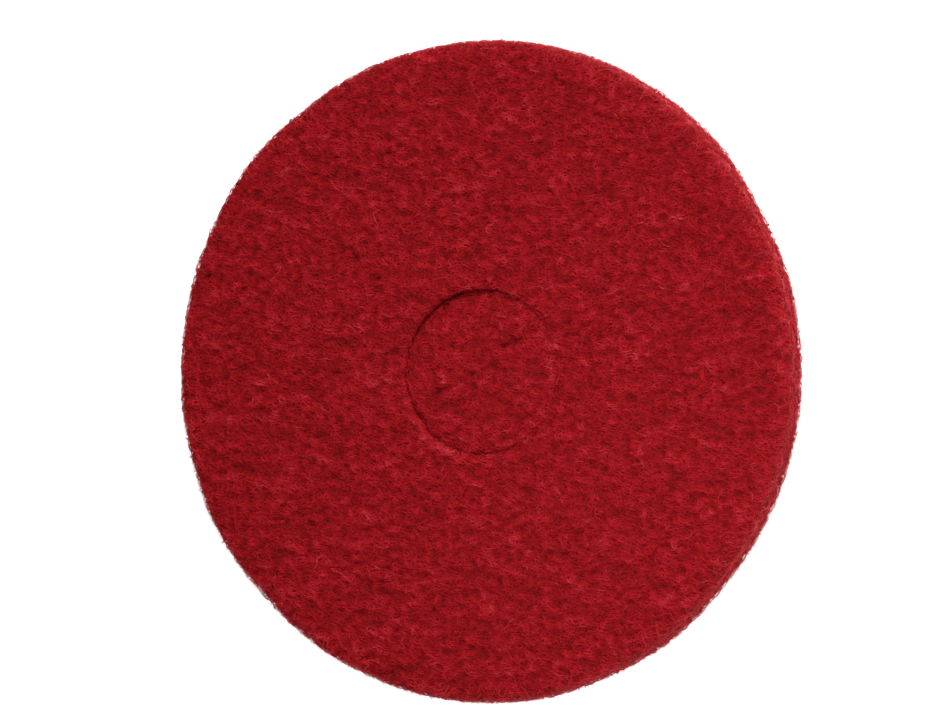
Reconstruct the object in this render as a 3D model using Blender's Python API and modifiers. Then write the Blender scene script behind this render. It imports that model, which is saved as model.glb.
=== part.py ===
"""A round floor pad of non-woven fibre web, with a die-cut centre that knocks out.

The pad lies flat on one of its two like faces. Units are metres and +Z is up. The origin is at
the centre of the lower face, and the Z axis is the axis that the pad spins about in use.
"""

from math import cos, pi, sin

import bpy

# Driving dimensions
PAD_RADIUS = 0.165
PAD_THICKNESS = 0.022
KNOCKOUT_RADIUS = 0.0415

# Rim: the die squeezes the web as it cuts, so each face rolls down to the cut wall
RIM_ROLL_WIDTH = 0.012
RIM_ROLL_DEPTH = 0.0045
RIM_ROLL_STEPS = 8

# Centre cut: a narrow kerf, open on the side that the plug leans away from
KERF = 0.0005
CUT_ROLL_WIDTH = 0.006
CUT_ROLL_DEPTH = 0.0015
CUT_ROLL_STEPS = 5
PLUG_LEAN_X = 0.00013
PLUG_LEAN_Y = -0.00032
PLUG_RADIUS = KNOCKOUT_RADIUS - KERF

RING_STEPS = 96
PLUG_STEPS = 72
MERGE_DISTANCE = 0.00005

WEB_RED = (0.42, 0.013, 0.02, 1.0)
PLUG_RED = (0.36, 0.011, 0.018, 1.0)


def clear_scene():
    for existing in list(bpy.data.objects):
        bpy.data.objects.remove(existing, do_unlink=True)


def make_collection(name):
    collection = bpy.data.collections.new(name)
    bpy.context.scene.collection.children.link(collection)
    return collection


def web_material(name, colour):
    """Matt resin-bonded fibre: no shine and no metal."""
    material = bpy.data.materials.new(name)
    material.use_nodes = True
    shader = material.node_tree.nodes["Principled BSDF"]
    shader.inputs["Base Color"].default_value = colour
    shader.inputs["Roughness"].default_value = 0.9
    shader.inputs["Metallic"].default_value = 0.0
    return material


def rolled_corner(radius, width, depth, steps):
    """A quarter ellipse that rolls from the upper face down to a cut wall.

    Gives (radius, height) points. A positive width ends at an outer wall, and a negative one ends
    at the wall of a hole.
    """
    points = []
    for step in range(steps + 1):
        turn = pi / 2 * step / steps
        across = radius - width * (1 - sin(turn))
        height = PAD_THICKNESS - depth * (1 - cos(turn))
        points.append((across, height))
    return points


def mirrored(points):
    """The same points on the lower face."""
    return [(radius, PAD_THICKNESS - height) for radius, height in points]


def outer_wall(radius, width, depth, steps):
    """The side of a disc of the pad's thickness, from its upper face to its lower one."""
    upper = rolled_corner(radius, width, depth, steps)
    return upper + mirrored(upper)[::-1]


def inner_wall(radius, width, depth, steps):
    """The side of a hole through the pad, from its lower face to its upper one."""
    upper = rolled_corner(radius, -width, depth, steps)
    return mirrored(upper) + upper[::-1]


def turned_piece(name, profile, closed, steps, material, collection):
    """Turns a profile of (radius, height) points about the piece's own Z axis."""
    count = len(profile)
    edges = [(i, i + 1) for i in range(count - 1)]
    if closed:
        edges.append((count - 1, 0))
    mesh = bpy.data.meshes.new(name)
    mesh.from_pydata([(radius, 0.0, height) for radius, height in profile], edges, [])
    mesh.materials.append(material)
    piece = bpy.data.objects.new(name, mesh)
    collection.objects.link(piece)
    screw = piece.modifiers.new("Turn", "SCREW")
    screw.axis = "Z"
    screw.steps = steps
    screw.render_steps = steps
    screw.use_merge_vertices = True
    screw.merge_threshold = MERGE_DISTANCE
    screw.use_smooth_shade = True
    return piece


def make_ring(collection):
    """The working body of the pad, a flat ring around the centre cut."""
    outer = outer_wall(PAD_RADIUS, RIM_ROLL_WIDTH, RIM_ROLL_DEPTH, RIM_ROLL_STEPS)
    inner = inner_wall(KNOCKOUT_RADIUS, CUT_ROLL_WIDTH, CUT_ROLL_DEPTH, CUT_ROLL_STEPS)
    material = web_material("pad_ring_web", WEB_RED)
    return turned_piece("pad_ring", outer + inner, True, RING_STEPS, material, collection)


def make_plug(collection):
    """The knock-out disc, leaning against one side of its hole."""
    side = outer_wall(PLUG_RADIUS, CUT_ROLL_WIDTH, CUT_ROLL_DEPTH, CUT_ROLL_STEPS)
    profile = [(0.0, PAD_THICKNESS)] + side + [(0.0, 0.0)]
    material = web_material("centre_plug_web", PLUG_RED)
    return turned_piece("centre_plug", profile, False, PLUG_STEPS, material, collection)


def main():
    clear_scene()
    collection = make_collection("floor_pad")
    make_ring(collection)
    slide = bpy.data.objects.new("plug_slide_axis", None)
    slide.location = (PLUG_LEAN_X, PLUG_LEAN_Y, 0.0)
    collection.objects.link(slide)
    plug = make_plug(collection)
    plug.parent = slide


main()
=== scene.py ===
"""The looks of a red floor pad: a springy tangle of resin-bonded fibres, die-cut to a disc.

Each CAD solid is replaced by a pitted core of packed web, with real fibres laid over its faces and
its cut walls. Lengths are in metres. The pad lies flat, with its upper face at +Z.
"""

from math import cos, pi, radians, sin

import bpy
import numpy as np
from mathutils import Matrix, Vector


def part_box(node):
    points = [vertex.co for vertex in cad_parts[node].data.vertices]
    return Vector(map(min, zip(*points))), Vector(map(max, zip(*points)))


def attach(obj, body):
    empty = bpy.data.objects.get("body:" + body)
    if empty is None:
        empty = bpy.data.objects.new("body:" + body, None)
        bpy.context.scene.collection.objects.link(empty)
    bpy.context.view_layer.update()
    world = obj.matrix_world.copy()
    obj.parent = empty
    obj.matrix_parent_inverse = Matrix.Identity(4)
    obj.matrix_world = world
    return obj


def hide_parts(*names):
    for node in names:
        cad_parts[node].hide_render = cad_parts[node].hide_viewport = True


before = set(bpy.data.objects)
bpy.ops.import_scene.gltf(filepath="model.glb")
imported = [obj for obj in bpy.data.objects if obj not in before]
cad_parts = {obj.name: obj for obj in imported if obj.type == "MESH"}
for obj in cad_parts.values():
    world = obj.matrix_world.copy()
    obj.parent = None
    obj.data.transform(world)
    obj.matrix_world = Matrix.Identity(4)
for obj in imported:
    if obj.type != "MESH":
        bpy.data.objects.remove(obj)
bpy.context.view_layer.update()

# ---------------------------------------------------------------- measures taken from the frame
RING_LOW, RING_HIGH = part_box("pad_ring")
PLUG_LOW, PLUG_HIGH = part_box("centre_plug")
THICKNESS = RING_HIGH[2]
PAD_RADIUS = (RING_HIGH[0] - RING_LOW[0]) / 2
PLUG_RADIUS = (PLUG_HIGH[0] - PLUG_LOW[0]) / 2
PLUG_X = (PLUG_HIGH[0] + PLUG_LOW[0]) / 2
PLUG_Y = (PLUG_HIGH[1] + PLUG_LOW[1]) / 2


def ring_points():
    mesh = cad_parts["pad_ring"].data
    points = np.empty(len(mesh.vertices) * 3)
    mesh.vertices.foreach_get("co", points)
    return points.reshape(-1, 3)


HOLE_RADIUS = float(np.hypot(*ring_points()[:, :2].T).min())

# ---------------------------------------------------------------- the shape of the die-cut edges
# A roll's width is how far from the wall it starts, and its depth is its drop at the wall. Turns
# are measured round a piece's axis from +X.
RIM_ROLL_WIDTH = 0.012
RIM_ROLL_DEPTH = 0.0045
CUT_ROLL_WIDTH = 0.006
UNDER_CUT_ROLL = 0.0015
# Each piece's upper face rolls down most on one side of the cut, and little on the other.
RING_CUT_ROLL = 0.004
RING_ROLL_TURN = radians(236)
PLUG_CUT_ROLL = 0.0024
PLUG_ROLL_TURN = radians(226)
# Painted highlights: a paler crescent beside the cut, on these two sides of it, where the rolled
# edges face the light.
RING_HIGHLIGHT_TURN = radians(227)
PLUG_HIGHLIGHT_TURN = radians(32)
HIGHLIGHT_REACH = 0.0028
HIGHLIGHT_WIDTH = 0.0020
CUT_PAINTED_HIGHLIGHT = 0.22
# The plug is pressed in on the side where the cut gapes, and stands proud beside that.
GAPE_TURN = radians(105)
PLUG_SINK = 0.0045
PROUD_TURN = radians(32)
PLUG_RISE = 0.0012
# Uncut fibres still bridge the cut on this side.
BRIDGE_TURN = radians(340)
BRIDGE_REACH = 0.0025
# Each crease across the plug: its slope, its distance from the plug's centre, where along it the
# middle is and how far it reaches each way.
CREASES = (
    (radians(28), 0.0006, -0.013, 0.024),
    (radians(32), 0.0050, 0.022, 0.011),
)
CREASE_DEPTH = 0.0024
CREASE_WIDTH = 0.0017
# Painted shade in the creases: a crease's dent counts this many times over in the painted depth
# shade.
CREASE_PAINTED_SHADE = 2.0
CREASE_RIPPLE = 0.0006
CREASE_RIPPLE_LENGTH = 0.003
CREASE_BREAK_LENGTH = 0.0024

# ---------------------------------------------------------------- the web
LAID_SQUASH = 0.5
LAID_DRIFT = radians(-2)
CLUMP_SQUASH = 0.7
CLUMP_LIFT = 0.0003
# Clump mottling, partly painted shade: lower clumps are drawn darker and raised ones lighter.
CLUMP_TONE_AND_PAINTED_SHADE = 0.145
CLUMP_RANGE = (-2.2, 1.5)
BLOTCH_SHADE = 0.07
# Painted shade: fibres are drawn darker the deeper they lie in the web.
DEPTH_PAINTED_SHADE = 52.0
GOLDEN_TURN = radians(137.508)
WALL_SQUASH = 0.45
CORE_VOXEL = 0.0015
CORE_INSET = 0.0009
CORE_ROUGHNESS = 0.0005
PIT_RANGE = (-2.0, 1.2)
# The core's walls in the cut are drawn in and pitted less, so that the cut stays narrow.
CUT_INSET = 0.0003
CUT_PITTING = 0.3
CUT_REACH = 0.002
STEEP = 0.7
SEGMENT_LENGTH = 0.0017
SHORTEST_KEPT = 0.0022
LONGEST_POINTS = 16
FACE_SAMPLES = 41
WALL_SAMPLES = 21
# Each crimp along a fibre: its wavelength, and how far it swings in radians.
CRIMPS = ((0.011, 0.5), (0.0055, 0.3))
# How much one fibre's crimps differ from another's in wavelength and in swing.
CRIMP_STRETCH = (0.7, 1.4)
CRIMP_SPREAD = 0.3
BEND_PER_METRE = 30.0
# How far sprung ends stand past a cut, on average, and how far inside it the others stop.
SPRING = 0.0003
END_INSET = 0.0003
HOLE_END_INSET = 0.0001
HIGHEST_LIFT = 0.0011
# How far apart a fibre's humps are, on a face and on a wall, and how high they are as a share of
# the room between the deepest and the highest fibres.
FACE_BEAT = (0.004, 0.014)
WALL_BEAT = (0.004, 0.012)
HEAVE = (0.1, 1.0)
PALE_SHADES = (0.75, 1.0)
# Wall fibres keep this far from the planes of the two faces.
FACE_GAP = 0.0002
# Cut ends start this far from those planes, and lean and curl at random by these amounts.
END_GAP = 0.0006
END_LEAN_LEVEL = 0.9
END_LEAN_UP = 0.45
END_CURL = 0.35
MAX_TRIANGLES = 180_000
# A fibre's tube has this many sides, and its ends have this share of its radius.
SIDES = 3
TAPER = 0.7


def waves(seed, count, shortest, longest):
    """A repeatable smooth noise over space, made of plane waves: wave vectors and phases."""
    rng = np.random.default_rng(seed)
    direction = rng.normal(size=(count, 3))
    direction /= np.linalg.norm(direction, axis=1)[:, None]
    length = np.exp(rng.uniform(np.log(shortest), np.log(longest), count))
    return direction * (2 * pi / length)[:, None], rng.uniform(0, 2 * pi, count)


def laid_waves(seed, count, shortest, longest, squash):
    """The same over a face. Most waves cross the Y axis, because the web was laid along X."""
    rng = np.random.default_rng(seed)
    turn = np.arange(count) * GOLDEN_TURN
    direction = np.stack([squash * np.cos(turn), np.sin(turn)], 1)
    direction /= np.linalg.norm(direction, axis=1)[:, None]
    length = np.exp(rng.uniform(np.log(shortest), np.log(longest), count))
    return direction * (2 * pi / length)[:, None], rng.uniform(0, 2 * pi, count)


def noise(points, wave):
    """The noise at each point: mean 0, and a spread of 1."""
    vectors, phases = wave
    total = np.zeros(points.shape[:-1])
    for vector, phase in zip(vectors, phases):
        total += np.cos(points @ vector + phase)
    return total * np.sqrt(2 / len(phases))


CLUMPS = laid_waves(11, 80, 0.0052, 0.017, CLUMP_SQUASH)
BLOTCHES = laid_waves(12, 30, 0.012, 0.05, CLUMP_SQUASH)
CORE_PITS = waves(13, 40, 0.0022, 0.006)
# The rim's waver: how many lobes, how big and where they start.
RIM_WOBBLE = (
    (3, 0.0002, -2.8),
    (4, 0.00025, 0.3),
    (5, 0.0003, 0.6),
    (7, 0.0002, 0.3),
    (11, 0.0002, -2.8),
    (15, 0.0002, 1.0),
)


def rolled(distance, width, depth):
    """How far a face has dropped at this distance in from a die-cut wall."""
    inward = np.clip(1 - distance / width, 0, 1)
    return depth * (1 - np.sqrt(1 - inward**2))


def rim_radius(angle):
    """The pad's radius, which wavers a little because the web is springy when it is cut."""
    radius = np.full(np.shape(angle), PAD_RADIUS)
    for lobes, size, phase in RIM_WOBBLE:
        radius = radius + size * np.cos(lobes * angle + phase)
    return radius


def gape(angle):
    """How far the centre cut gapes: 1 where the plug is pressed in, 0 on the other side."""
    return np.clip(0.25 + 0.75 * np.cos(angle - GAPE_TURN), 0, 1) ** 2


def bridged(angle):
    """How much of the cut is still bridged: 1 on one side, and 0 on the side that gapes."""
    return np.clip(0.2 + np.cos(angle - BRIDGE_TURN), 0, 1)


def one_sided(angle, turn):
    """1 on the side of the cut that turn points to, falling to 0.1 on the far side."""
    return 0.1 + 0.9 * (0.5 + 0.5 * np.cos(angle - turn)) ** 3


class Body:
    """One piece of web: its centre, and the radii of its outer wall and of its hole."""

    def __init__(self, name, rides_on, x, y, outer, inner):
        self.name = name
        self.rides_on = rides_on
        self.x = x
        self.y = y
        self.outer = outer
        self.inner = inner

    def polar(self, x, y):
        across, along = x - self.x, y - self.y
        return np.hypot(across, along), np.arctan2(along, across)

    def outer_radius(self, angle):
        if self.inner > 0:
            return rim_radius(angle)
        return np.full(np.shape(angle), self.outer)

    def upper_cut_roll(self, angle):
        """How deep the upper face rolls down at the centre cut."""
        if self.inner > 0:
            return RING_CUT_ROLL * one_sided(angle, RING_ROLL_TURN)
        return PLUG_CUT_ROLL * one_sided(angle, PLUG_ROLL_TURN)

    def drawn_back(self, outward, angle, z):
        """How far a wall is drawn back at height z, where it rolls over into a face."""
        if self.inner > 0 and outward > 0:
            width, depth = RIM_ROLL_WIDTH, RIM_ROLL_DEPTH
        else:
            width = CUT_ROLL_WIDTH
            depth = np.where(z > THICKNESS / 2, self.upper_cut_roll(angle), UNDER_CUT_ROLL)
        edge = np.clip(np.minimum(z, THICKNESS - z) / depth, 0, 1)
        return width * (1 - np.sqrt(1 - (1 - edge) ** 2))

    def sunk(self, angle):
        """How far the plug's upper edge is pressed down, or up where this is negative."""
        if self.inner > 0:
            return np.zeros(np.shape(angle))
        proud = np.clip(np.cos(angle - PROUD_TURN), 0, 1) ** 3
        return PLUG_SINK * gape(angle) - PLUG_RISE * proud

    def drop(self, side, x, y):
        """How far a face lies inward of its flat part. side is +1 for the upper face."""
        radius, angle = self.polar(x, y)
        to_wall = np.maximum(self.outer_radius(angle) - radius, 0)
        if self.inner > 0:
            to_hole = np.maximum(radius - self.inner, 0)
            depth = self.upper_cut_roll(angle) if side > 0 else UNDER_CUT_ROLL
            rim = rolled(to_wall, RIM_ROLL_WIDTH, RIM_ROLL_DEPTH)
            return rim + rolled(to_hole, CUT_ROLL_WIDTH, depth)
        if side < 0:
            return rolled(to_wall, CUT_ROLL_WIDTH, UNDER_CUT_ROLL)
        out = np.clip(radius / self.outer, 0, 1) ** 3
        roll = rolled(to_wall, CUT_ROLL_WIDTH, self.upper_cut_roll(angle))
        return roll + out * self.sunk(angle)


RING = Body("ring", "pad", 0.0, 0.0, PAD_RADIUS, HOLE_RADIUS)
PLUG = Body("plug", "plug", PLUG_X, PLUG_Y, PLUG_RADIUS, 0.0)


# ---------------------------------------------------------------- materials
# How far the grit and the dye blotches change a fibre's shade, and what that is lowered by so that
# the mean shade stays as it was drawn.
GRIT_SHADE = 0.35
DYE_SHADE = 0.2
SHADE_LOWERED = 0.27
ROUGHNESS_SPREAD = 0.12


def node(tree, kind, **values):
    made = tree.nodes.new(kind)
    for key, value in values.items():
        if key in made.inputs:
            made.inputs[key].default_value = value
        else:
            setattr(made, key, value)
    return made


def ramp(tree, source, stops):
    made = tree.nodes.new("ShaderNodeValToRGB")
    colours = made.color_ramp.elements
    for place, colour in stops[1:-1]:
        colours.new(place).color = (*colour, 1)
    colours[0].position, colours[0].color = stops[0][0], (*stops[0][1], 1)
    colours[-1].position, colours[-1].color = stops[-1][0], (*stops[-1][1], 1)
    tree.links.new(source, made.inputs["Fac"])
    return made.outputs["Color"]


def added(tree, amount, times, to):
    """A node's output: amount multiplied by a number, plus another output."""
    made = node(tree, "ShaderNodeMath", operation="MULTIPLY_ADD")
    tree.links.new(amount, made.inputs[0])
    made.inputs[1].default_value = times
    tree.links.new(to, made.inputs[2])
    return made.outputs["Value"]


def fibre_material(name, stops, roughness):
    """Resin-coated fibre: each one's shade, which carries painted shade and painted highlights,
    broken up by dye blotches and specks of grit.
    """
    material = bpy.data.materials.new(name)
    material.use_nodes = True
    tree = material.node_tree
    shader = tree.nodes["Principled BSDF"]
    shade = node(tree, "ShaderNodeAttribute", attribute_name="shade")
    place = node(tree, "ShaderNodeTexCoord")
    grit = node(tree, "ShaderNodeTexNoise", Scale=1400.0, Detail=2.0)
    tree.links.new(place.outputs["Object"], grit.inputs["Vector"])
    blotch = node(tree, "ShaderNodeTexNoise", Scale=40.0, Detail=3.0)
    tree.links.new(place.outputs["Object"], blotch.inputs["Vector"])
    gritty = added(tree, grit.outputs["Fac"], GRIT_SHADE, shade.outputs["Fac"])
    blotchy = added(tree, blotch.outputs["Fac"], DYE_SHADE, gritty)
    lowered = node(tree, "ShaderNodeMath", operation="SUBTRACT")
    tree.links.new(blotchy, lowered.inputs[0])
    lowered.inputs[1].default_value = SHADE_LOWERED
    tree.links.new(ramp(tree, lowered.outputs["Value"], stops), shader.inputs["Base Color"])
    rough = node(tree, "ShaderNodeMapRange")
    rough.inputs["To Min"].default_value = roughness - ROUGHNESS_SPREAD
    rough.inputs["To Max"].default_value = roughness + ROUGHNESS_SPREAD
    tree.links.new(grit.outputs["Fac"], rough.inputs["Value"])
    tree.links.new(rough.outputs["Result"], shader.inputs["Roughness"])
    bump = node(tree, "ShaderNodeBump", Strength=0.4, Distance=0.0001)
    tree.links.new(grit.outputs["Fac"], bump.inputs["Height"])
    tree.links.new(bump.outputs["Normal"], shader.inputs["Normal"])
    shader.inputs["Specular IOR Level"].default_value = 0.15
    return material


def core_material(name, stops):
    """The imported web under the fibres: short dark strands running every way."""
    material = bpy.data.materials.new(name)
    material.use_nodes = True
    tree = material.node_tree
    shader = tree.nodes["Principled BSDF"]
    place = node(tree, "ShaderNodeTexCoord")
    strands = node(tree, "ShaderNodeTexVoronoi", feature="DISTANCE_TO_EDGE", Scale=900.0)
    warp = node(tree, "ShaderNodeTexNoise", Scale=500.0, Detail=2.0)
    tree.links.new(place.outputs["Object"], warp.inputs["Vector"])
    mixed = node(tree, "ShaderNodeVectorMath", operation="MULTIPLY_ADD")
    tree.links.new(warp.outputs["Color"], mixed.inputs[0])
    mixed.inputs[1].default_value = (0.002, 0.002, 0.002)
    tree.links.new(place.outputs["Object"], mixed.inputs[2])
    tree.links.new(mixed.outputs["Vector"], strands.inputs["Vector"])
    blotch = node(tree, "ShaderNodeTexNoise", Scale=330.0, Detail=3.0)
    tree.links.new(place.outputs["Object"], blotch.inputs["Vector"])
    total = node(tree, "ShaderNodeMath", operation="SUBTRACT")
    tree.links.new(blotch.outputs["Fac"], total.inputs[0])
    tree.links.new(strands.outputs["Distance"], total.inputs[1])
    tree.links.new(ramp(tree, total.outputs["Value"], stops), shader.inputs["Base Color"])
    bump = node(tree, "ShaderNodeBump", Strength=0.8, Distance=0.0006, invert=True)
    tree.links.new(strands.outputs["Distance"], bump.inputs["Height"])
    tree.links.new(bump.outputs["Normal"], shader.inputs["Normal"])
    shader.inputs["Roughness"].default_value = 0.8
    shader.inputs["Specular IOR Level"].default_value = 0.08
    return material


# ---------------------------------------------------------------- fibres
class Strands:
    """Fibres with the same number of points: centre lines, radii, and a shade at each point."""

    def __init__(self, lines, radii, shades):
        self.lines = lines
        self.radii = radii
        self.shades = shades

    def picked(self, chosen):
        return Strands(self.lines[chosen], self.radii[chosen], self.shades[chosen])


def crimped_headings(rng, count, samples, lengths, squash=1.0, drift=0.0):
    """The direction of each fibre along its length: a slow bend with a crimp on top.

    squash below 1 turns fibres towards the way that the web was laid, and drift is that way.
    """
    run = np.linspace(0, 1, samples)[None, :] * lengths[:, None]
    heading = rng.uniform(0, 2 * pi, count)[:, None]
    heading = heading + rng.normal(0, BEND_PER_METRE, count)[:, None] * run
    for wavelength, swing in CRIMPS:
        stretch = rng.uniform(*CRIMP_STRETCH, count)[:, None]
        phase = rng.uniform(0, 2 * pi, count)[:, None]
        size = rng.normal(1, CRIMP_SPREAD, count)[:, None] * swing
        heading = heading + size * np.sin(2 * pi * run / (wavelength * stretch) + phase)
    return run, np.arctan2(squash * np.sin(heading), np.cos(heading)) + drift


def walked(start, run, heading):
    """Positions reached by walking along each heading, with the walk's middle at start."""
    step = np.diff(run, axis=1, prepend=run[:, :1])
    across = np.cumsum(step * np.cos(heading), axis=1)
    along = np.cumsum(step * np.sin(heading), axis=1)
    middle = run.shape[1] // 2
    across += (start[:, 0] - across[:, middle])[:, None]
    along += (start[:, 1] - along[:, middle])[:, None]
    return across, along


def longest_run(inside):
    """The first and last sample of each fibre's longest stretch inside."""
    count, samples = inside.shape
    length = np.zeros(count, int)
    best = np.zeros(count, int)
    last = np.zeros(count, int)
    for k in range(samples):
        length = (length + 1) * inside[:, k]
        better = length > best
        best = np.where(better, length, best)
        last = np.where(better, k, last)
    return last - best + 1, last


def resampled(values, first, last, points):
    """Each row of values between its own first and last sample, at evenly spaced points."""
    place = first[:, None] + (last - first)[:, None] * np.linspace(0, 1, points)[None, :]
    low = np.minimum(place.astype(int), values.shape[1] - 2)
    part = place - low
    rows = np.arange(len(values))[:, None]
    return values[rows, low] * (1 - part) + values[rows, low + 1] * part


def by_length(lengths):
    """Groups fibres by how many points they need: (chosen rows, points)."""
    needed = np.clip(np.round(lengths / SEGMENT_LENGTH).astype(int) + 1, 3, LONGEST_POINTS)
    return [(np.flatnonzero(needed == n), n) for n in np.unique(needed)]


def shades(rng, count, middle, spread, pale_share):
    """A shade for each fibre: most near the middle, and a few that took less dye."""
    shade = rng.normal(middle, spread, count)
    pale = rng.random(count) < pale_share
    return np.clip(np.where(pale, rng.uniform(*PALE_SHADES, count), shade), 0.0, 1.0)


def cut_to_groups(rng, tracks, first, last, kept_length, radius):
    """Strands between each fibre's first and last sample. tracks: x, y, z and shade."""
    groups = []
    for rows, points in by_length(kept_length):
        rows = rows[kept_length[rows] > SHORTEST_KEPT]
        if len(rows):
            cut = [resampled(track[rows], first[rows], last[rows], points) for track in tracks]
            line = np.stack(cut[:3], -1)
            groups.append(Strands(line, rng.uniform(*radius, len(rows)), np.clip(cut[3], 0, 1)))
    return groups


def waving(rng, run, middle, heave, beats):
    """Each fibre's height along its length as it weaves in and out of the web."""
    beat = rng.uniform(*beats, len(middle))
    phase = rng.uniform(0, 2 * pi, len(middle))
    return middle[:, None] + heave[:, None] * np.sin(2 * pi * run / beat[:, None] + phase[:, None])


def face_strands(body, side, seed, count, length, radius, depth, tone, bridge_reach=0.0):
    """Fibres lying along one face. side is +1 for the upper face and -1 for the lower one."""
    rng = np.random.default_rng(seed)
    reach = (PAD_RADIUS if body.inner > 0 else body.outer) + length[1] / 2
    count = int(count * (reach / (reach - length[1] / 2)) ** 2)
    lengths = rng.uniform(*length, count)
    run, heading = crimped_headings(rng, count, FACE_SAMPLES, lengths, LAID_SQUASH, LAID_DRIFT)
    spot = reach * np.sqrt(rng.random(count))
    turn = rng.uniform(0, 2 * pi, count)
    start = np.stack([body.x + spot * np.cos(turn), body.y + spot * np.sin(turn)], 1)
    x, y = walked(start, run, heading)
    distance, angle = body.polar(x, y)
    # The die leaves most ends flush, and a few that spring out past the wall.
    spring = rng.exponential(SPRING, count)[:, None]
    inside = distance < body.outer_radius(angle) - END_INSET + spring
    if body.inner > 0:
        bridge = bridge_reach * rng.exponential(1, count)[:, None] * bridged(angle)
        inside &= distance > body.inner + HOLE_END_INSET - bridge - spring
    first, last = longest_run(inside)
    kept_length = (last - first) / (FACE_SAMPLES - 1) * lengths
    heave = rng.uniform(*HEAVE, count) * (depth[1] - depth[0]) / 2
    middle = rng.uniform(*depth, count)
    lift = waving(rng, run, middle, heave, FACE_BEAT)
    places = np.stack([x, y], -1)
    clump = np.clip(noise(places, CLUMPS), *CLUMP_RANGE)
    dent = dents(body, side, x, y)
    # Clump mottling, partly painted shade: lower clumps are drawn darker, raised ones lighter.
    tint = shades(rng, count, *tone)[:, None] + CLUMP_TONE_AND_PAINTED_SHADE * clump
    # Dye blotches, and a painted highlight beside the cut.
    tint += BLOTCH_SHADE * noise(places, BLOTCHES) + painted_highlight(body, side, x, y)
    # Painted shade: fibres lying deeper, and those in the creases, are drawn darker.
    tint += DEPTH_PAINTED_SHADE * (lift - depth[1] + CREASE_PAINTED_SHADE * dent)
    lift += CLUMP_LIFT * clump + dent
    lift = np.minimum(lift, HIGHEST_LIFT)
    level = body.drop(side, x, y)
    z = THICKNESS - level + lift if side > 0 else level - np.minimum(lift, 0.0)
    return cut_to_groups(rng, (x, y, z, tint), first, last, kept_length, radius)


def painted_highlight(body, side, x, y):
    """A painted highlight: a paler crescent beside the cut, where its rolled edge faces the light.
    """
    if side < 0:
        return 0.0
    radius, angle = body.polar(x, y)
    if body.inner > 0:
        off, turn = radius - body.inner, RING_HIGHLIGHT_TURN
    else:
        off, turn = body.outer - radius, PLUG_HIGHLIGHT_TURN
    near = np.exp(-(((off - HIGHLIGHT_REACH) / HIGHLIGHT_WIDTH) ** 2))
    return CUT_PAINTED_HIGHLIGHT * near * np.clip(np.cos(angle - turn), 0, 1) ** 4


def dents(body, side, x, y):
    """Faint creases across the plug, where the web was folded in its pack."""
    if body.inner > 0 or side < 0:
        return 0.0
    depth = 0.0
    for slope, offset, middle, reach in CREASES:
        along = (x - body.x) * cos(slope) + (y - body.y) * sin(slope)
        off = (y - body.y) * cos(slope) - (x - body.x) * sin(slope) - offset
        off = off + CREASE_RIPPLE * np.sin(along / CREASE_RIPPLE_LENGTH)
        extent = np.clip(1 - np.abs((along - middle) / reach) ** 4, 0, 1)
        broken = 0.8 + 0.2 * np.sin(along / CREASE_BREAK_LENGTH)
        depth = depth - CREASE_DEPTH * np.exp(-((off / CREASE_WIDTH) ** 2)) * extent * broken
    return depth


def wall_strands(body, outward, seed, count, length, radius, depth, tone):
    """Fibres lying along a cut wall, mostly level, because the web is laid in layers."""
    rng = np.random.default_rng(seed)
    wall = body.outer if outward > 0 else body.inner
    lengths = rng.uniform(*length, count)
    run, heading = crimped_headings(rng, count, WALL_SAMPLES, lengths, WALL_SQUASH)
    start = np.stack([rng.uniform(0, 2 * pi * wall, count), rng.uniform(0, THICKNESS, count)], 1)
    along, z = walked(start, run, heading)
    angle = along / wall
    first, last = longest_run((z > FACE_GAP) & (z < THICKNESS - FACE_GAP))
    kept_length = (last - first) / (WALL_SAMPLES - 1) * lengths
    middle = rng.uniform(*depth, count)
    heave = rng.uniform(*HEAVE, count) * (depth[1] - depth[0]) / 2
    lift = waving(rng, run, middle, heave, WALL_BEAT)
    clump = noise(np.stack([along, z], -1), CLUMPS)
    # Painted shade: fibres lying deeper, and lower clumps, are drawn darker.
    tint = shades(rng, count, *tone)[:, None] + CLUMP_TONE_AND_PAINTED_SHADE * clump + DEPTH_PAINTED_SHADE * (lift - depth[1])
    lift += CLUMP_LIFT * clump
    surface = body.outer_radius(angle) if outward > 0 else wall
    distance = surface + outward * (lift - body.drawn_back(outward, angle, z))
    z = z * (1 - body.sunk(angle) / THICKNESS)
    x = body.x + distance * np.cos(angle)
    y = body.y + distance * np.sin(angle)
    return cut_to_groups(rng, (x, y, z, tint), first, last, kept_length, radius)


def cut_ends(body, outward, seed, count, length, radius, tone):
    """Short ends that the die cut across, standing out of a wall at all angles."""
    rng = np.random.default_rng(seed)
    wall = body.outer if outward > 0 else body.inner
    angle = rng.uniform(0, 2 * pi, count)
    z = rng.uniform(END_GAP, THICKNESS - END_GAP, count)
    surface = body.outer_radius(angle) if outward > 0 else np.full(count, wall)
    base = surface - outward * body.drawn_back(outward, angle, z)
    z = z * (1 - body.sunk(angle) / THICKNESS)
    out = np.stack([np.cos(angle), np.sin(angle), np.zeros(count)], -1) * outward
    level = np.stack([-np.sin(angle), np.cos(angle), np.zeros(count)], -1)
    up = np.array([0.0, 0.0, 1.0])
    root = np.stack([body.x + base * np.cos(angle), body.y + base * np.sin(angle), z], -1)
    lean = rng.normal(0, END_LEAN_LEVEL, count)[:, None] * level
    lean = lean + rng.normal(0, END_LEAN_UP, count)[:, None] * up
    aim = out + lean
    aim /= np.linalg.norm(aim, axis=1)[:, None]
    reach = rng.uniform(*length, count)
    steps = np.linspace(-1.0, 1.0, 4)
    curl = rng.normal(0, END_CURL, count)[:, None] * np.cross(aim, up)
    line = root[:, None] + reach[:, None, None] * (
        steps[None, :, None] * aim[:, None] + (steps**2)[None, :, None] * curl[:, None]
    )
    line[..., 2] = np.clip(line[..., 2], FACE_GAP, None)
    tint = np.repeat(shades(rng, count, *tone)[:, None], len(steps), axis=1)
    return [Strands(line, rng.uniform(*radius, count), tint)]


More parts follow.
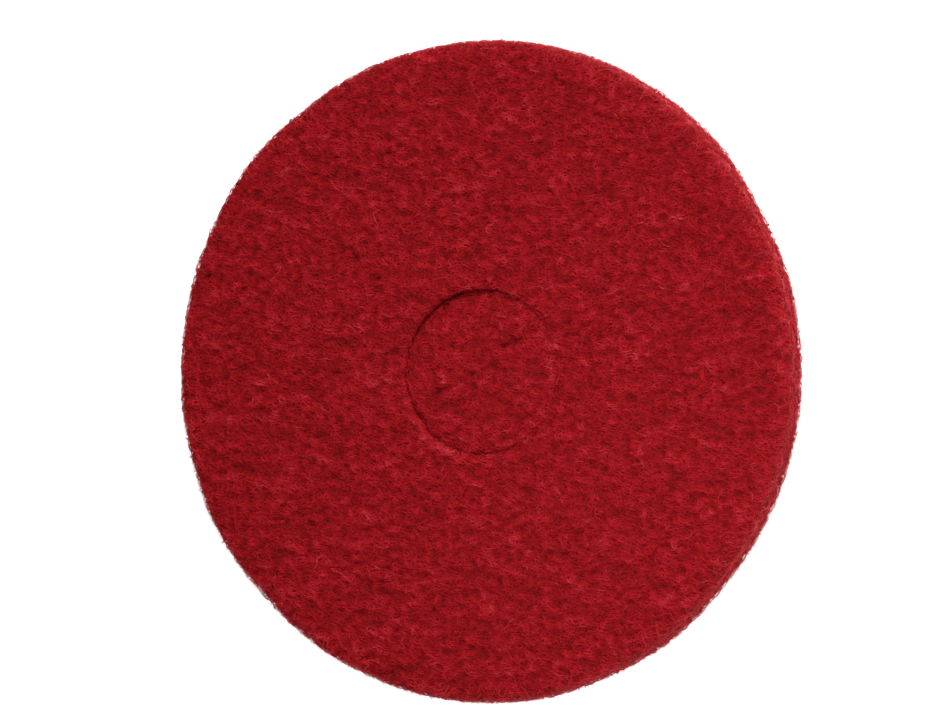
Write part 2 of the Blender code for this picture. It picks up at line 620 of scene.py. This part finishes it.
def tube_mesh(strands):
    """The closed three-sided tubes of one group: (points, quads, end triangles, shades)."""
    line = strands.lines
    count, points, _ = line.shape
    tangent = np.gradient(line, axis=1)
    tangent /= np.maximum(np.linalg.norm(tangent, axis=2), 1e-12)[..., None]
    # A little off +Z, because no side can be found for a fibre that runs straight along it.
    up = np.array([0.02, 0.03, 1.0])
    side = np.cross(tangent, up)
    side /= np.maximum(np.linalg.norm(side, axis=2), 1e-9)[..., None]
    over = np.cross(side, tangent)
    taper = np.ones(points)
    taper[0] = taper[-1] = TAPER
    radius = (strands.radii[:, None] * taper[None, :])[..., None]
    corners = []
    for k in range(SIDES):
        turn = pi / 2 + 2 * pi * k / SIDES
        corners.append(line + radius * (cos(turn) * side + sin(turn) * over))
    vertices = np.stack(corners, 2).reshape(-1, 3)
    start = (np.arange(count) * points * SIDES)[:, None, None]
    ring = (np.arange(points - 1) * SIDES)[None, :, None]
    here = np.arange(SIDES)[None, None, :]
    after = (here + 1) % SIDES
    low = start + ring
    quads = np.stack([low + here, low + SIDES + here, low + SIDES + after, low + after], -1)
    first = start[:, 0, 0][:, None] + np.arange(SIDES)[None, :]
    last = first[:, ::-1] + (points - 1) * SIDES
    ends = np.concatenate([first, last])
    shade = np.repeat(strands.shades.ravel(), SIDES)
    return vertices, quads.reshape(-1, 4), ends, shade


def add_mesh(name, vertices, quads, triangles, shade, material):
    mesh = bpy.data.meshes.new(name)
    corners = np.concatenate([quads.ravel(), triangles.ravel()]).astype(np.int32)
    starts = np.concatenate(
        [np.arange(len(quads)) * 4, len(quads) * 4 + np.arange(len(triangles)) * 3]
    ).astype(np.int32)
    mesh.vertices.add(len(vertices))
    mesh.vertices.foreach_set("co", vertices.astype(np.float32).ravel())
    mesh.loops.add(len(corners))
    mesh.loops.foreach_set("vertex_index", corners)
    mesh.polygons.add(len(starts))
    mesh.polygons.foreach_set("loop_start", starts)
    mesh.update(calc_edges=True)
    mesh.shade_smooth()
    layer = mesh.attributes.new("shade", "FLOAT", "POINT")
    layer.data.foreach_set("value", shade.astype(np.float32))
    mesh.materials.append(material)
    piece = bpy.data.objects.new(name, mesh)
    bpy.context.scene.collection.objects.link(piece)
    return piece


def split_up(groups):
    """Deals groups of strands into batches that stay under the triangle limit."""
    batches, batch, used = [], [], 0
    for group in groups:
        each = ((group.lines.shape[1] - 1) * 2 + 1) * SIDES
        begin = 0
        while begin < len(group.lines):
            room = (MAX_TRIANGLES - used) // each
            if room < 1:
                batches.append(batch)
                batch, used = [], 0
                continue
            rows = np.arange(begin, min(begin + room, len(group.lines)))
            batch.append(group.picked(rows))
            used += len(rows) * each
            begin += len(rows)
    batches.append(batch)
    return [b for b in batches if b]


def add_fibres(name, groups, material, body):
    """Makes the tubes of all groups, in as many pieces as they need."""
    pieces = []
    for number, batch in enumerate(split_up(groups), 1):
        vertices, quads, ends, shade, base = [], [], [], [], 0
        for group in batch:
            v, q, e, s = tube_mesh(group)
            vertices.append(v)
            quads.append(q + base)
            ends.append(e + base)
            shade.append(s)
            base += len(v)
        piece = add_mesh(
            f"{name}_{number}",
            np.concatenate(vertices),
            np.concatenate(quads),
            np.concatenate(ends),
            np.concatenate(shade),
            material,
        )
        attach(piece, body.rides_on)
        pieces.append(piece)
    return pieces


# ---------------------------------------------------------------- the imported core
def core(body, cad_name, material):
    """The CAD solid, remeshed finely, drawn in under the fibres and pitted."""
    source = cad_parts[cad_name]
    work = bpy.data.objects.new(f"{body.name}_core", source.data.copy())
    bpy.context.scene.collection.objects.link(work)
    work.matrix_world = source.matrix_world
    remesh = work.modifiers.new("Fine", "REMESH")
    remesh.mode = "VOXEL"
    remesh.voxel_size = CORE_VOXEL
    graph = bpy.context.evaluated_depsgraph_get()
    mesh = bpy.data.meshes.new_from_object(work.evaluated_get(graph))
    work.modifiers.clear()
    work.data = mesh
    count = len(mesh.vertices)
    points = np.empty(count * 3)
    mesh.vertices.foreach_get("co", points)
    points = points.reshape(-1, 3)
    normals = np.empty(count * 3)
    mesh.vertex_normals.foreach_get("vector", normals)
    normals = normals.reshape(-1, 3)
    rough = np.clip(noise(points, CORE_PITS), *PIT_RANGE) * CORE_ROUGHNESS
    x, y = points[:, 0], points[:, 1]
    radius, angle = body.polar(x, y)
    in_cut = (np.abs(normals[:, 2]) < STEEP) & (radius < HOLE_RADIUS + CUT_REACH)
    outward = np.where(in_cut, CUT_PITTING * rough - CUT_INSET, rough - CORE_INSET)
    moved = points + normals * outward[:, None]
    waver = body.outer_radius(angle) / body.outer - 1
    moved[:, :2] *= 1 + (waver * (radius / body.outer) ** 8)[:, None]
    share = (radius / body.outer) ** 3 * points[:, 2] / THICKNESS
    moved[:, 2] -= body.sunk(angle) * np.clip(share, 0, 1)
    clump = CLUMP_LIFT * noise(points[:, :2], CLUMPS)
    highest = THICKNESS - body.drop(1, x, y) + dents(body, 1, x, y) + clump + rough - CORE_INSET
    lowest = body.drop(-1, x, y) + CORE_INSET - rough
    moved[:, 2] = np.clip(moved[:, 2], lowest, highest)
    mesh.vertices.foreach_set("co", moved.ravel())
    mesh.materials.clear()
    mesh.materials.append(material)
    mesh.shade_smooth()
    mesh.update()
    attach(work, body.rides_on)
    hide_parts(cad_name)
    return work


# ---------------------------------------------------------------- colours
DEEP = (0.12, 0.0014, 0.003)
DARK = (0.205, 0.002, 0.0043)
RED = (0.345, 0.0034, 0.0078)
BRIGHT = (0.46, 0.009, 0.0185)
PALE = (0.56, 0.05, 0.062)

core_stops = ((0.15, DEEP), (0.45, DARK), (0.75, RED))
fibre_stops = ((0.0, DARK), (0.45, RED), (0.72, BRIGHT), (1.0, PALE))
core_red = core_material("packed_web", core_stops)
fibre_red = fibre_material("bonded_fibre", fibre_stops, 0.55)

# ---------------------------------------------------------------- the pad
core(RING, "pad_ring", core_red)
core(PLUG, "centre_plug", core_red)

# Lengths, radii, and how far fibres lie above or below the surface. A tone is the middle shade, its
# spread, and the share of fibres that took less dye.
LENGTH = (0.005, 0.013)
THIN = (0.00009, 0.00015)
THICK = (0.00016, 0.00022)
COVER = (-0.0008, 0.0001)
RIM_COVER = (-0.0009, 0.0001)
CUT_COVER = (-0.0008, 0.0)
TONE = (0.46, 0.05, 0.012)
# The rim's fibres are paler: partly undyed cut ends, partly a painted sheen on the rim.
RIM_TONE_AND_SHEEN = (0.6, 0.08, 0.2)

# The plug has about as many fibres to the square metre as the ring.
RING_SHARE = 1 - (HOLE_RADIUS / PAD_RADIUS) ** 2
RING_FIBRES = 46000
PLUG_FIBRES = int(RING_FIBRES * (PLUG_RADIUS / PAD_RADIUS) ** 2 / RING_SHARE)
# The underside is seldom seen, so it has fewer and thicker fibres.
UNDER_FIBRES = 14000
PLUG_UNDER_FIBRES = int(UNDER_FIBRES * (PLUG_RADIUS / PAD_RADIUS) ** 2 / RING_SHARE)
RIM_FIBRES = 4200
CUT_FIBRES = 1100
RIM_ENDS = 7000
HOLE_ENDS = 5000
PLUG_ENDS = 2500
RIM_END_LENGTH = (0.0005, 0.0016)
HOLE_END_LENGTH = (0.0004, 0.0012)
PLUG_END_LENGTH = (0.0003, 0.0006)

top = face_strands(RING, 1, 101, RING_FIBRES, LENGTH, THIN, COVER, TONE, bridge_reach=BRIDGE_REACH)
add_fibres("ring_top_fibres", top, fibre_red, RING)
top = face_strands(PLUG, 1, 102, PLUG_FIBRES, LENGTH, THIN, COVER, TONE)
add_fibres("plug_top_fibres", top, fibre_red, PLUG)

rim = wall_strands(RING, 1, 103, RIM_FIBRES, LENGTH, THIN, RIM_COVER, RIM_TONE_AND_SHEEN)
rim += cut_ends(RING, 1, 104, RIM_ENDS, RIM_END_LENGTH, THIN, RIM_TONE_AND_SHEEN)
add_fibres("rim_fibres", rim, fibre_red, RING)

under = face_strands(RING, -1, 105, UNDER_FIBRES, LENGTH, THICK, COVER, TONE)
add_fibres("ring_under_fibres", under, fibre_red, RING)
under = face_strands(PLUG, -1, 106, PLUG_UNDER_FIBRES, LENGTH, THICK, COVER, TONE)
add_fibres("plug_under_fibres", under, fibre_red, PLUG)

cut = wall_strands(RING, -1, 107, CUT_FIBRES, LENGTH, THIN, CUT_COVER, TONE)
add_fibres("hole_wall_fibres", cut, fibre_red, RING)
cut = cut_ends(RING, -1, 109, HOLE_ENDS, HOLE_END_LENGTH, THIN, TONE)
add_fibres("hole_wall_ends", cut, fibre_red, RING)
cut = wall_strands(PLUG, 1, 108, CUT_FIBRES, LENGTH, THIN, CUT_COVER, TONE)
cut += cut_ends(PLUG, 1, 110, PLUG_ENDS, PLUG_END_LENGTH, THIN, TONE)
add_fibres("plug_wall_fibres", cut, fibre_red, PLUG)


# ---------------------------------------------------------------- floor, light and camera
def plain_material(name, colour):
    material = bpy.data.materials.new(name)
    material.use_nodes = True
    shader = material.node_tree.nodes["Principled BSDF"]
    shader.inputs["Base Color"].default_value = (*colour, 1)
    shader.inputs["Roughness"].default_value = 0.9
    shader.inputs["Specular IOR Level"].default_value = 0.0
    return material


# The floor glows like a light table, because the photo's ground is pure white with no shadow.
FLOOR_GLOW = 0.7
FLOOR_RADIUS = 14.0
# The floor lies just under the lowest fibres.
FLOOR_LEVEL = -0.0006
ROOM_LIGHT = 0.38
ORIGIN = (0, 0, 0)


def make_floor():
    bpy.ops.mesh.primitive_circle_add(vertices=96, radius=FLOOR_RADIUS, fill_type="NGON")
    floor = bpy.context.object
    floor.name = "floor"
    floor.location.z = FLOOR_LEVEL
    white = plain_material("white_floor", (0.92, 0.92, 0.92))
    shader = white.node_tree.nodes["Principled BSDF"]
    shader.inputs["Emission Color"].default_value = (1, 1, 1, 1)
    shader.inputs["Emission Strength"].default_value = FLOOR_GLOW
    floor.data.materials.append(white)


def make_world(strength):
    world = bpy.data.worlds.new("white_room")
    world.use_nodes = True
    background = world.node_tree.nodes["Background"]
    background.inputs["Color"].default_value = (1, 1, 1, 1)
    background.inputs["Strength"].default_value = strength
    bpy.context.scene.world = world


def make_light(name, place, size, power):
    """A soft square light aimed at the pad's centre."""
    lamp = bpy.data.lights.new(name, "AREA")
    lamp.shape = "SQUARE"
    lamp.size = size
    lamp.energy = power
    light = bpy.data.objects.new(name, lamp)
    light.location = place
    light.rotation_euler = (Vector(ORIGIN) - Vector(place)).to_track_quat("-Z", "Y").to_euler()
    bpy.context.scene.collection.objects.link(light)


# The camera stands far off with a long lens, and is tilted because the photo's outline is narrower
# than it is tall. FRAME_WIDTH is how much of the pad's plane the picture takes in.
TILT = radians(22.5)
ROLL = radians(2.1)
LENS = 600.0
SENSOR = 36.0
FRAME_WIDTH = 0.4745
AIM_RIGHT = -0.0073
AIM_UP = 0.007


def make_camera():
    """Looks down on the pad from a little to its +X side, with +Y up in the picture."""
    back = Vector((sin(TILT), 0, cos(TILT)))
    right = Vector((cos(TILT), 0, -sin(TILT)))
    up = Vector((0, 1, 0))
    distance = FRAME_WIDTH * LENS / SENSOR
    middle = right * (-THICKNESS * sin(TILT) / 2) + back * (THICKNESS * cos(TILT))
    data = bpy.data.cameras.new("camera")
    data.lens = LENS
    data.sensor_width = SENSOR
    camera = bpy.data.objects.new("camera", data)
    place = middle + back * distance + right * AIM_RIGHT + up * AIM_UP
    turn = Matrix((right, up, back)).transposed().to_4x4() @ Matrix.Rotation(ROLL, 4, "Z")
    camera.matrix_world = Matrix.Translation(place) @ turn
    data.clip_start = 0.05
    data.clip_end = 60.0
    bpy.context.scene.collection.objects.link(camera)
    bpy.context.scene.camera = camera


make_floor()
make_world(ROOM_LIGHT)
make_light("key", (0.55, 1.77, 1.66), size=0.8, power=90.5)
make_light("side", (0.22, -0.13, 0.42), size=0.3, power=1.45)
make_camera()
bpy.context.scene.view_settings.view_transform = "Standard"
